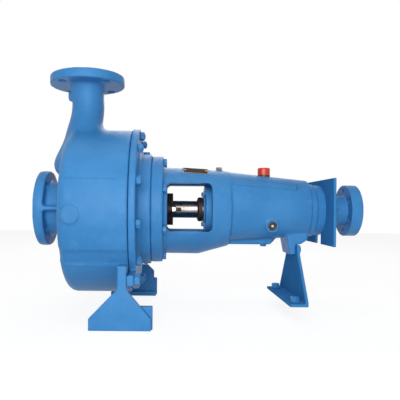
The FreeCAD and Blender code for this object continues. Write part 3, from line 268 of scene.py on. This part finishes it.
# %% Bare metals
def metal(name, colour, worn, roughness, rings=0.0, metallic=1.0):
    """A metal with its worn or stained colour in patches, and tool rings if it was turned."""
    made = Finish(name)
    patches = made.noise(45, 5, 0.65).between(0.42, 0.68)
    speck = made.noise(420, 3)
    height = speck
    if rings:
        lines = made.node("ShaderNodeTexWave", {"bands_direction": "X"}, {
            "Vector": made.where, "Scale": rings, "Distortion": 0.4, "Detail": 2.0})
        height = speck * 0.5 + lines * 0.5
    return made.set(Base_Color=made.mix(patches, colour, worn), Metallic=metallic,
                    Roughness=patches * 0.18 + speck * 0.1 + roughness,
                    Normal=made.bump(height, 0.00012))


bare_steel = metal("bare_steel", (0.42, 0.40, 0.38), (0.22, 0.17, 0.13), 0.28)
stainless_steel = metal("stainless_steel", (0.36, 0.33, 0.31), (0.22, 0.18, 0.16), 0.20, rings=260)
bearing_steel = metal("bearing_steel", (0.62, 0.62, 0.64), (0.50, 0.50, 0.52), 0.08, rings=420)
bronze = metal("bronze", (0.50, 0.30, 0.10), (0.28, 0.17, 0.07), 0.25, rings=300)
grey_iron = metal("grey_iron", (0.20, 0.20, 0.21), (0.13, 0.10, 0.08), 0.45, metallic=0.8)
black_iron = metal("black_iron", (0.012, 0.011, 0.012), (0.060, 0.026, 0.016), 0.50, metallic=0.2)

# %% [markdown]
# ## Soft and small finishes
# Graphite packing is braided, so two waves crossed at an angle give its plaits. Rubber,
# plastic and gasket board are dull, with a fine grain. The level glass is dark because oil
# stands behind it, and a highlight is painted into its colour as a bright spot in its middle.
# The bare nameplate is black, with a border of brass. The painted highlight and the border
# are measured from their pieces' own corners.

# %% Soft and small finishes
def dull(name, colour, other, roughness, grain, depth):
    """A non-metal with a soft change of colour and a grain of this scale and depth."""
    made = Finish(name)
    drift = made.noise(grain / 6, 3).between(0.35, 0.65)
    fine = made.noise(grain, 4)
    return made.set(Base_Color=made.mix(drift, colour, other), Roughness=fine * 0.2 + roughness,
                    Normal=made.bump(fine, depth))


black_rubber = dull("black_rubber", (0.018, 0.018, 0.019), (0.030, 0.030, 0.031), 0.55, 500, 0.0001)
fibre_gasket = dull("fibre_gasket", (0.21, 0.17, 0.12), (0.15, 0.13, 0.10), 0.75, 700, 0.0001)
red_plastic = dull("red_plastic", (0.72, 0.052, 0.018), (0.62, 0.035, 0.014), 0.22, 260, 0.0001)
black_rim = dull("black_rim", (0.014, 0.015, 0.018), (0.030, 0.031, 0.035), 0.30, 400, 0.0001)


def braided_packing():
    made = Finish("graphite_packing")
    plaits = []
    for lean in (0.8, -0.8):
        leaning = made.node("ShaderNodeMapping", inputs={"Vector": made.where,
                                                         "Rotation": (lean, 0.0, lean)})
        plaits.append(made.node("ShaderNodeTexWave", inputs={"Vector": leaning, "Scale": 95.0}))
    plait = plaits[0] * plaits[1]
    return made.set(Base_Color=made.mix(plait, (0.020, 0.020, 0.022), (0.085, 0.085, 0.09)),
                    Roughness=0.45 + plait * 0.2, Normal=made.bump(plait, 0.0006))


# Where the highlight painted in the middle of the level glass fades out, in metres from its middle.
glass_painted_highlight_edge = (0.0040, 0.0055)
plate_border, plate_border_blur = 0.0026, 0.0010


def reach_of(node):
    """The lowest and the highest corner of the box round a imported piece."""
    spreads = list(zip(*(vertex.co for vertex in nodes[node].data.vertices)))
    return [min(spread) for spread in spreads], [max(spread) for spread in spreads]


def oil_glass():
    made = Finish("sight_glass")
    smear = made.noise(160, 3)
    low, high = reach_of("sight_glass_lens")
    middle = [(bottom + top) / 2 for bottom, top in zip(low, high)]
    away = made.node("ShaderNodeVectorMath", {"operation": "DISTANCE"}, (made.where, middle),
                     output="Value")
    # A painted highlight: a bright spot of colour in the lens's middle, whatever the light.
    painted_highlight = 1.0 - (away + smear * 0.002).between(*glass_painted_highlight_edge)
    return made.set(Base_Color=made.mix(painted_highlight, (0.012, 0.010, 0.008), (0.62, 0.60, 0.56)),
                    Roughness=smear * 0.08 + 0.06, IOR=1.47, Coat_Weight=0.4)


def brass_edged_plate():
    """A black plate with a bare brass border, worn through to the brass in small spots."""
    made = Finish("dark_plate")
    borders = []
    for place, low, high in zip(place_on(made)[:2], *reach_of("nameplate")):
        inner = (high - low) / 2 - plate_border
        from_middle = (place - (high + low) / 2).without_sign()
        borders.append(from_middle.between(inner, inner + plate_border_blur))
    border = borders[0].or_higher(borders[1])
    worn = made.noise(330, 4, 0.7).between(0.56, 0.66)
    brass = border.or_higher(worn * 0.55)
    return made.set(Base_Color=made.mix(brass, (0.016, 0.013, 0.011), (0.36, 0.21, 0.07)),
                    Metallic=border * 0.8, Roughness=worn * 0.1 + 0.75, Specular_IOR_Level=0.15,
                    Normal=made.bump(brass, 0.0003))


graphite_packing, sight_glass, dark_plate = braided_packing(), oil_glass(), brass_edged_plate()

# %% [markdown]
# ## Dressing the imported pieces
# Each piece's slot in the record says what it is made of. A piece keeps its own mesh here
# and gets the finish of its slot.

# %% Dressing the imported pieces
finishes = {
    "blue_enamel": plate_enamel, "grey_iron": grey_iron, "bare_steel": bare_steel,
    "stainless_steel": stainless_steel, "bearing_steel": bearing_steel, "bronze": bronze,
    "black_iron": black_iron, "graphite_packing": graphite_packing,
    "fibre_gasket": fibre_gasket, "black_rubber": black_rubber, "red_plastic": red_plastic,
    "black_rim": black_rim, "sight_glass": sight_glass, "dark_plate": dark_plate}
for subpart in frame["record"]["subparts"]:
    mesh = nodes[subpart["node"]].data
    mesh.materials.clear()
    mesh.materials.append(finishes[subpart["material_slot"]])
print("dressed", len(nodes), "nodes")

# %% [markdown]
# ## Castings
# Nothing on a sand casting has a sharp edge: every corner is rounded and every inner corner
# is filleted. A copy of each casting is rebuilt from small even faces and relaxed, which
# rounds all of its edges at once by a few millimetres and keeps the flat faces flat. The
# casing also has two large fillets, at its shoulder and at the root of its neck. A copy of
# the casing is grown and shrunk back there, which fills its inner corners.

# %% Castings
slot_of = {subpart["node"]: subpart["material_slot"] for subpart in frame["record"]["subparts"]}
body_of = {node: name for name, riders in frame["record"]["behaviour"]["bodies"].items()
           for node in riders}


def joined(node):
    """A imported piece's mesh, with its loose triangles joined into closed shells."""
    shell = bmesh.new()
    shell.from_mesh(nodes[node].data)
    bmesh.ops.remove_doubles(shell, verts=shell.verts, dist=1e-6)
    return shell


def in_scene(name, shape):
    mesh = bpy.data.meshes.new(name)
    shape.to_mesh(mesh)
    shape.free()
    piece = bpy.data.objects.new(name, mesh)
    bpy.context.scene.collection.objects.link(piece)
    return piece


def settle(piece):
    """Turns a piece with modifiers into a plain mesh."""
    evaluated = piece.evaluated_get(bpy.context.evaluated_depsgraph_get())
    mesh = bpy.data.meshes.new_from_object(evaluated)
    piece.modifiers.clear()
    piece.data = mesh
    return mesh


def stand_for(piece, node, finish=None):
    """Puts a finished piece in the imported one's place, on its body and with its material."""
    piece.data.materials.clear()
    piece.data.materials.append(finish or finishes[slot_of[node]])
    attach(piece, body_of[node])
    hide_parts(node)


def even_skin(piece, face):
    """Rebuilds a piece from even faces of this length in metres."""
    remesh = piece.modifiers.new("even faces", "REMESH")
    remesh.mode, remesh.voxel_size, remesh.adaptivity = "VOXEL", face, 0.0


def box_between(low, high):
    shape = bmesh.new()
    bmesh.ops.create_cube(shape, size=1.0)
    span = [top - bottom for bottom, top in zip(low, high)]
    middle = [(top + bottom) / 2 for bottom, top in zip(low, high)]
    bmesh.ops.transform(shape, verts=shape.verts,
                        matrix=Matrix.Translation(middle) @ Matrix.Diagonal((*span, 1.0)))
    return in_scene("window", shape)


def filleted(node, face, radius, low, high):
    """The part of a casting between two corners, with its inner corners filled to a radius.

    The skin is grown by the radius, made anew and shrunk back by as much. What the growth
    closed stays closed, and everything else returns to its place."""
    piece = in_scene(node + "_fillets", joined(node))
    for distance in (radius, -radius):
        even_skin(piece, face)
        move = piece.modifiers.new("grow", "DISPLACE")
        move.mid_level, move.strength = 0.0, distance
    even_skin(piece, face)
    window = box_between(low, high)
    crop = piece.modifiers.new("crop", "BOOLEAN")
    crop.operation, crop.object = "INTERSECT", window
    mesh = settle(piece)
    bpy.data.objects.remove(piece)
    bpy.data.objects.remove(window)
    print(node, "fillet of", radius, "m:", len(mesh.polygons), "faces")
    return mesh


def cast(node, face, passes, finish, fillets=()):
    """Replaces a packed casting by a copy with rounded edges, made of faces this long."""
    shell = joined(node)
    for fillet in fillets:
        shell.from_mesh(fillet)
    piece = in_scene(node + "_cast", shell)
    even_skin(piece, face)
    relax = piece.modifiers.new("soft edges", "SMOOTH")
    relax.factor, relax.iterations = 0.5, passes
    settle(piece).shade_smooth()
    stand_for(piece, node, finish)
    print(node, len(piece.data.polygons), "faces")


# The windows that keep the fillets, each from its lowest to its highest corner.
shoulder_radius, shoulder_window = 0.045, ((0.062, -0.23, 0.085), (0.125, 0.23, 0.215))
neck_radius, neck_window = 0.014, ((0.110, -0.23, 0.150), (0.200, 0.23, 0.250))

shoulder = filleted("volute_casing", 0.005, shoulder_radius, *shoulder_window)
neck_root = filleted("volute_casing", 0.004, neck_radius, *neck_window)
cast("volute_casing", 0.0034, 4, casing_enamel, fillets=(shoulder, neck_root))
# The other castings: the length of their faces, how often they are relaxed, and their paint.
for casting in (("back_cover", 0.0028, 3, cast_enamel),
                ("bearing_frame", 0.0027, 3, frame_enamel),
                ("front_foot_near", 0.0015, 2, cast_enamel),
                ("front_foot_far", 0.0015, 2, cast_enamel),
                ("rear_support_foot", 0.0014, 2, dull_enamel),
                ("guard_plate", 0.0012, 2, dull_enamel),
                ("coupling_half", 0.0012, 2, plate_enamel),
                ("outboard_bearing_cover", 0.0014, 2, cast_enamel),
                ("inboard_bearing_cover", 0.0012, 2, cast_enamel),
                ("gland_follower", 0.0009, 2, black_iron)):
    cast(*casting)

# %% [markdown]
# ## Turned and threaded pieces
# A turned piece is a list of rings. A ring is a distance along the piece and a radius, and a
# hexagon is a ring whose radius changes with the angle. Nuts and heads get the chamfer that a
# lathe gives them, and studs get ridges for a thread. The sizes are measured on the packed
# solids, so the fasteners follow the model.

# %% Turned and threaded pieces
AROUND = 48
CHAMFER = math.tan(math.radians(30))
ROUND_FACE = 0.475  # the radius of a hexagon's round face, to its width across flats
PITCH = 0.29  # the pitch of a coarse thread, to its radius
THREADED = 3.4  # the length of thread on a stud, to its radius


class Solid:
    """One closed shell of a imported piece, measured along the axis with this number."""

    def __init__(self, corners, along):
        self.along = along
        self.corners = corners
        self.middle = Vector([(min(spread) + max(spread)) / 2 for spread in zip(*corners)])
        self.stations = sorted({round(corner[along], 5) for corner in corners})

    def reach(self, corner):
        gap = corner - self.middle
        gap[self.along] = 0.0
        return gap.length

    def radius(self, station):
        return max(self.reach(corner) for corner in self.corners
                   if abs(corner[self.along] - station) < 1e-5)

    def bore(self):
        return min(self.reach(corner) for corner in self.corners)


def solids(node, along=0):
    shell = joined(node)
    left, found = set(shell.verts), []
    while left:
        queue, group = [left.pop()], []
        while queue:
            corner = queue.pop()
            group.append(corner.co.copy())
            for edge in corner.link_edges:
                other = edge.other_vert(corner)
                if other in left:
                    left.remove(other)
                    queue.append(other)
        found.append(Solid(group, along))
    shell.free()
    return found


def lathe(name, rings, hollow=False):
    """A piece turned about X from its rings. A hollow one joins its last ring to its first."""
    shape = bmesh.new()
    loops = []
    for ring in rings:
        spots = []
        for step in range(AROUND):
            angle = 2 * math.pi * step / AROUND
            x, radius = ring(angle) if callable(ring) else ring
            spots.append(shape.verts.new((x, -radius * math.sin(angle), radius * math.cos(angle))))
        loops.append(spots)
    for first, second in zip(loops, loops[1:] + loops[:1] if hollow else loops[1:]):
        for step in range(AROUND):
            shape.faces.new((first[step - 1], first[step], second[step], second[step - 1]))
    if not hollow:
        shape.faces.new(loops[0])
        shape.faces.new(loops[-1])
    bmesh.ops.recalc_face_normals(shape, faces=shape.faces)
    piece = in_scene(name, shape)
    piece.data.shade_smooth()
    piece.data.set_sharp_from_angle(angle=math.radians(32))
    return piece


def hexagon(flats, start, end):
    """The rings of a hexagon that a lathe has chamfered at both ends."""
    round_face = flats * ROUND_FACE

    def side(angle):
        return flats / 2 / math.cos(angle % (math.pi / 3) - math.pi / 6)

    def low(angle):
        return start + (side(angle) - round_face) * CHAMFER, side(angle)

    def high(angle):
        return end - (side(angle) - round_face) * CHAMFER, side(angle)

    return [(start, round_face), low, high, (end, round_face)]


def thread(radius, start, end):
    """The rings of a thread, as ridges, with a chamfer where it ends."""
    pitch = radius * PITCH
    rings = []
    for turn in range(int((end - start) / pitch - 0.5)):
        crest = start + pitch * turn
        rings += [(crest, radius), (crest + pitch * 0.5, radius - pitch * 0.5)]
    return rings + [(end - pitch / 2, radius), (end, radius * 0.82)]


def flats_of(solid, station):
    return 2 * solid.radius(station) * math.cos(math.pi / 6)


def bolt(node, solid):
    """A hex bolt: a chamfered shank up to the seat, and a head with a shallow dish on top."""
    tip, seat, top = solid.stations[0], solid.stations[-2], solid.stations[-1]
    shank, flats = solid.radius(tip), flats_of(solid, top)
    dish = top - (top - seat) * 0.08
    return lathe(node, [(tip, shank * 0.8), (tip + shank * 0.2, shank), (seat, shank)]
                 + hexagon(flats, seat, top) + [(top, flats * 0.40), (dish, flats * 0.36)])


def bolt_back(node, solid):
    """The same bolt with its head towards the suction side."""
    top, seat, tip = solid.stations[0], solid.stations[1], solid.stations[-1]
    shank, flats = solid.radius(tip), flats_of(solid, top)
    return lathe(node, [(top, flats * 0.40)] + hexagon(flats, top, seat)
                 + [(seat, shank), (tip - shank * 0.2, shank), (tip, shank * 0.8)])


def nut(node, solid):
    seat, top = solid.stations[0], solid.stations[-1]
    hole = solid.bore()
    return lathe(node, [(seat, hole)] + hexagon(flats_of(solid, top), seat, top)
                 + [(top, hole * 1.12), (top - hole * 0.12, hole)], hollow=True)


def stud(node, solid):
    start, end = solid.stations[0], solid.stations[-1]
    radius = solid.radius(start)
    return lathe(node, [(start, radius * 0.85), (start + radius * 0.15, radius)]
                 + thread(radius, end - radius * THREADED, end))


# %% [markdown]
# ## Rows of fasteners
# One fastener of each kind is made, and a node tree puts it on every place where the packed
# piece has one. In a ring round the shaft each fastener turns with its place, so that a
# corner of every head points outwards.

# %% Rows of fasteners
def row_tree():
    tree = bpy.data.node_groups.new("row of fasteners", "GeometryNodeTree")
    tree.is_modifier = True
    inputs = {}
    for name, kind in (("Places", "Geometry"), ("Fastener", "Object"), ("Finish", "Material"),
                       ("Turn with place", "Float")):
        made = tree.interface.new_socket(name, in_out="INPUT", socket_type="NodeSocket" + kind)
        inputs[name] = made.identifier
    tree.interface.new_socket("Row", in_out="OUTPUT", socket_type="NodeSocketGeometry")
    group = tree.nodes.new("NodeGroupInput").outputs

    def node(kind, sockets, output=0, **settings):
        made = tree.nodes.new(kind)
        for name, value in settings.items():
            setattr(made, name, value)
        for place, value in sockets.items():
            tree.links.new(value, made.inputs[place])
        return made.outputs[output]

    spot = tree.nodes.new("ShaderNodeSeparateXYZ")
    tree.links.new(node("GeometryNodeInputPosition", {}), spot.inputs[0])
    across = node("ShaderNodeMath", {0: spot.outputs["Y"], 1: group["Turn with place"]},
                  operation="MULTIPLY")
    outwards = tree.nodes.new("ShaderNodeMath")
    outwards.operation = "MULTIPLY"
    outwards.inputs[1].default_value = -1.0
    tree.links.new(across, outwards.inputs[0])
    angle = node("ShaderNodeMath", {0: outwards.outputs[0], 1: spot.outputs["Z"]},
                 operation="ARCTAN2")
    turn = node("ShaderNodeCombineXYZ", {0: angle})
    points = node("GeometryNodeMeshToPoints", {"Mesh": group["Places"]})
    model = node("GeometryNodeObjectInfo", {"Object": group["Fastener"]}, output="Geometry")
    row = node("GeometryNodeInstanceOnPoints", {"Points": points, "Instance": model,
                                                "Rotation": turn})
    row = node("GeometryNodeRealizeInstances", {"Geometry": row})
    row = node("GeometryNodeSetMaterial", {"Geometry": row, "Material": group["Finish"]})
    tree.links.new(row, tree.nodes.new("NodeGroupOutput").inputs[0])
    return tree, inputs


ROW, ROW_INPUTS = row_tree()


def fasteners(node, make, along=0, ring=True, finish=None):
    """Replaces a packed group of equal fasteners by turned ones in the same places."""
    found = solids(node, along)
    model = make(node + "_model", found[0])
    shape = bmesh.new()
    for solid in found:
        place = solid.middle.copy()
        place[along] = 0.0
        shape.verts.new(place)
    if along == 2:
        model.data.transform(Matrix.Rotation(math.radians(-90), 4, "Y")
                             @ Matrix.Rotation(math.radians(90), 4, "X"))
    row = in_scene(node + "_row", shape)
    repeat = row.modifiers.new("row", "NODES")
    repeat.node_group = ROW
    repeat[ROW_INPUTS["Fastener"]] = model
    repeat[ROW_INPUTS["Finish"]] = finish or finishes[slot_of[node]]
    repeat[ROW_INPUTS["Turn with place"]] = 1.0 if ring else 0.0
    settle(row)
    bpy.data.objects.remove(model)
    stand_for(row, node, finish)
    print(node, len(found), "pieces")


for node, make in (("cover_nuts", nut), ("cover_studs", stud), ("frame_bolts", bolt),
                   ("outboard_cover_screws", bolt), ("inboard_cover_screws", bolt_back)):
    fasteners(node, make)
for node, make in (("front_foot_bolts", bolt), ("rear_foot_bolts", bolt), ("gland_nuts", nut),
                   ("gland_studs", stud)):
    fasteners(node, make, ring=False)
# The plug on top of the frame was screwed in after the painting, so it is bare.
for node, finish in (("rear_anchor_bolts", None), ("frame_top_plug", bare_steel)):
    fasteners(node, bolt, along=2, ring=False, finish=finish)

# %% [markdown]
# ## Fittings
# The filler cap is a moulded knob with grips round it, and the sight glass has a rounded rim.

# %% Fittings
def single(node, rings, solid, turn, hollow=False):
    """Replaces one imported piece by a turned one, tipped from X and moved to its place."""
    piece = lathe(node + "_turned", rings, hollow)
    place = solid.middle.copy()
    place[solid.along] = 0.0
    piece.data.transform(Matrix.Translation(place) @ turn)
    stand_for(piece, node)


upright = Matrix.Rotation(math.radians(-90), 4, "Y")
towards_viewer = Matrix.Rotation(math.radians(-90), 4, "Z")

knob = solids("oil_filler_cap", along=2)[0]
tip, under, crown = knob.stations[0], knob.stations[-2], knob.stations[-1]
knob_radius, knob_stem, knob_rise = knob.radius(crown), knob.radius(tip), crown - under
grips, grip_depth = 12, 0.035

# The knob from its underside to its dished top: each height is a share of its rise, each
# radius a share of its radius, and the last word says whether the grips cross that ring.
knob_profile = [
    (0.0, 0.93, False), (0.05, 0.97, False), (0.12, 0.97, False), (0.16, 1.0, True),
    (0.80, 1.0, True), (0.90, 0.97, True), (0.97, 0.90, False), (1.0, 0.80, False),
    (1.0, 0.45, False), (0.95, 0.40, False)]


def knob_ring(height, share, gripped):
    """A ring of the knob, with shallow grips pressed into it where it is gripped."""
    def ring(angle):
        grip = grip_depth * (1 - math.cos(grips * angle)) / 2 if gripped else 0.0
        return under + knob_rise * height, knob_radius * share * (1 - grip)
    return ring


stem = [(tip, knob_stem * 0.9), (tip + knob_stem * 0.1, knob_stem), (under, knob_stem)]
single("oil_filler_cap", stem + [knob_ring(*row) for row in knob_profile], knob, upright)

rim = solids("sight_glass_rim", along=1)[0]
front, back = rim.stations[0], rim.stations[-1]
rim_radius, rim_bore = rim.radius(back), rim.bore()
lip = (rim_radius - rim_bore) * 0.3
single("sight_glass_rim", [
    (-back, rim_bore), (-back, rim_radius), (-front - lip, rim_radius),
    (-front - lip * 0.3, rim_radius - lip * 0.3), (-front, rim_radius - lip),
    (-front, rim_bore + lip), (-front - lip * 0.3, rim_bore + lip * 0.3),
    (-front - lip, rim_bore)], rim, towards_viewer, hollow=True)

# %% [markdown]
# ## Light and floor
# The photograph is cut out on white, lit by one broad light near the camera: faces that
# look at the viewer are bright, and the undersides fall off into deep blue. A ray that
# leaves the pump asks the world or the floor for light. The answer is plain white where the
# camera, a mirror or a glass asks, and a little light where a painted face asks. The floor
# gives a share of its own light to all of them, so it keeps the pump's soft shadow.

# %% Light and floor
def white_where_seen(material_or_world, quiet, end, share=1.0, strength=1.0):
    """Ends a tree in a share of white for rays that show a background, else in quiet."""
    tree = material_or_world.node_tree
    path = tree.nodes.new("ShaderNodeLightPath")
    seen = path.outputs["Is Camera Ray"]
    for ray in ("Is Glossy Ray", "Is Transmission Ray"):
        either = tree.nodes.new("ShaderNodeMath")
        either.operation = "MAXIMUM"
        tree.links.new(seen, either.inputs[0])
        tree.links.new(path.outputs[ray], either.inputs[1])
        seen = either.outputs[0]
    glow = "ShaderNodeBackground" if end == "World Output" else "ShaderNodeEmission"
    white = tree.nodes.new(glow)
    white.inputs["Color"].default_value = (1.0, 1.0, 1.0, 1.0)
    white.inputs["Strength"].default_value = strength
    part = tree.nodes.new("ShaderNodeMath")
    part.operation = "MULTIPLY"
    part.inputs[1].default_value = share
    tree.links.new(seen, part.inputs[0])
    chosen = tree.nodes.new("ShaderNodeMixShader")
    tree.links.new(part.outputs[0], chosen.inputs[0])
    tree.links.new(quiet.outputs[0], chosen.inputs[1])
    tree.links.new(white.outputs[0], chosen.inputs[2])
    tree.links.new(chosen.outputs[0], tree.nodes[end].inputs["Surface"])


def soft_lamp(name, place, aim, width, watts):
    lamp = bpy.data.lights.new(name, "AREA")
    lamp.shape, lamp.size, lamp.energy = "DISK", width, watts
    holder = bpy.data.objects.new(name, lamp)
    bpy.context.scene.collection.objects.link(holder)
    direction = Vector(aim) - Vector(place)
    turned = direction.to_track_quat("-Z", "Y").to_matrix().to_4x4()
    holder.matrix_world = Matrix.Translation(place) @ turned


# Each lamp's name, its place, what it points at, its width in metres and its power in watts.
pump_middle, pump_feet = (0.3, 0, 0), (0.3, 0, -0.1)
soft_lamp("key", (0.22, -2.0, 0.45), pump_middle, 1.3, 29)
soft_lamp("top", (0.3, -0.4, 2.0), pump_middle, 1.4, 6)
soft_lamp("low", (0.1, -1.7, -0.35), pump_feet, 1.0, 5)
soft_lamp("back", (0.5, 1.9, 1.4), pump_middle, 1.6, 13)

sky_colour, sky_strength = (0.93, 0.96, 1.0, 1.0), 0.25
world = bpy.data.worlds.new("studio")
bpy.context.scene.world = world
world.use_nodes = True
sky = world.node_tree.nodes["Background"]
sky.inputs["Color"].default_value = sky_colour
sky.inputs["Strength"].default_value = sky_strength
white_where_seen(world, sky, "World Output")

floor_white, floor_strength, floor_half_width = 0.75, 1.15, 4.0
pale_floor = Finish("pale_floor")
pale_floor.set(Base_Color=(0.8, 0.8, 0.8, 1.0), Roughness=0.9)
white_where_seen(pale_floor.material, pale_floor.surface, "Material Output",
                 share=floor_white, strength=floor_strength)
sheet = bmesh.new()
bmesh.ops.create_grid(sheet, x_segments=1, y_segments=1, size=floor_half_width)
floor = in_scene("floor", sheet)
floor.data.materials.append(pale_floor.material)
floor.data.transform(Matrix.Translation((0.0, 0.0, cad_box[0][2])))
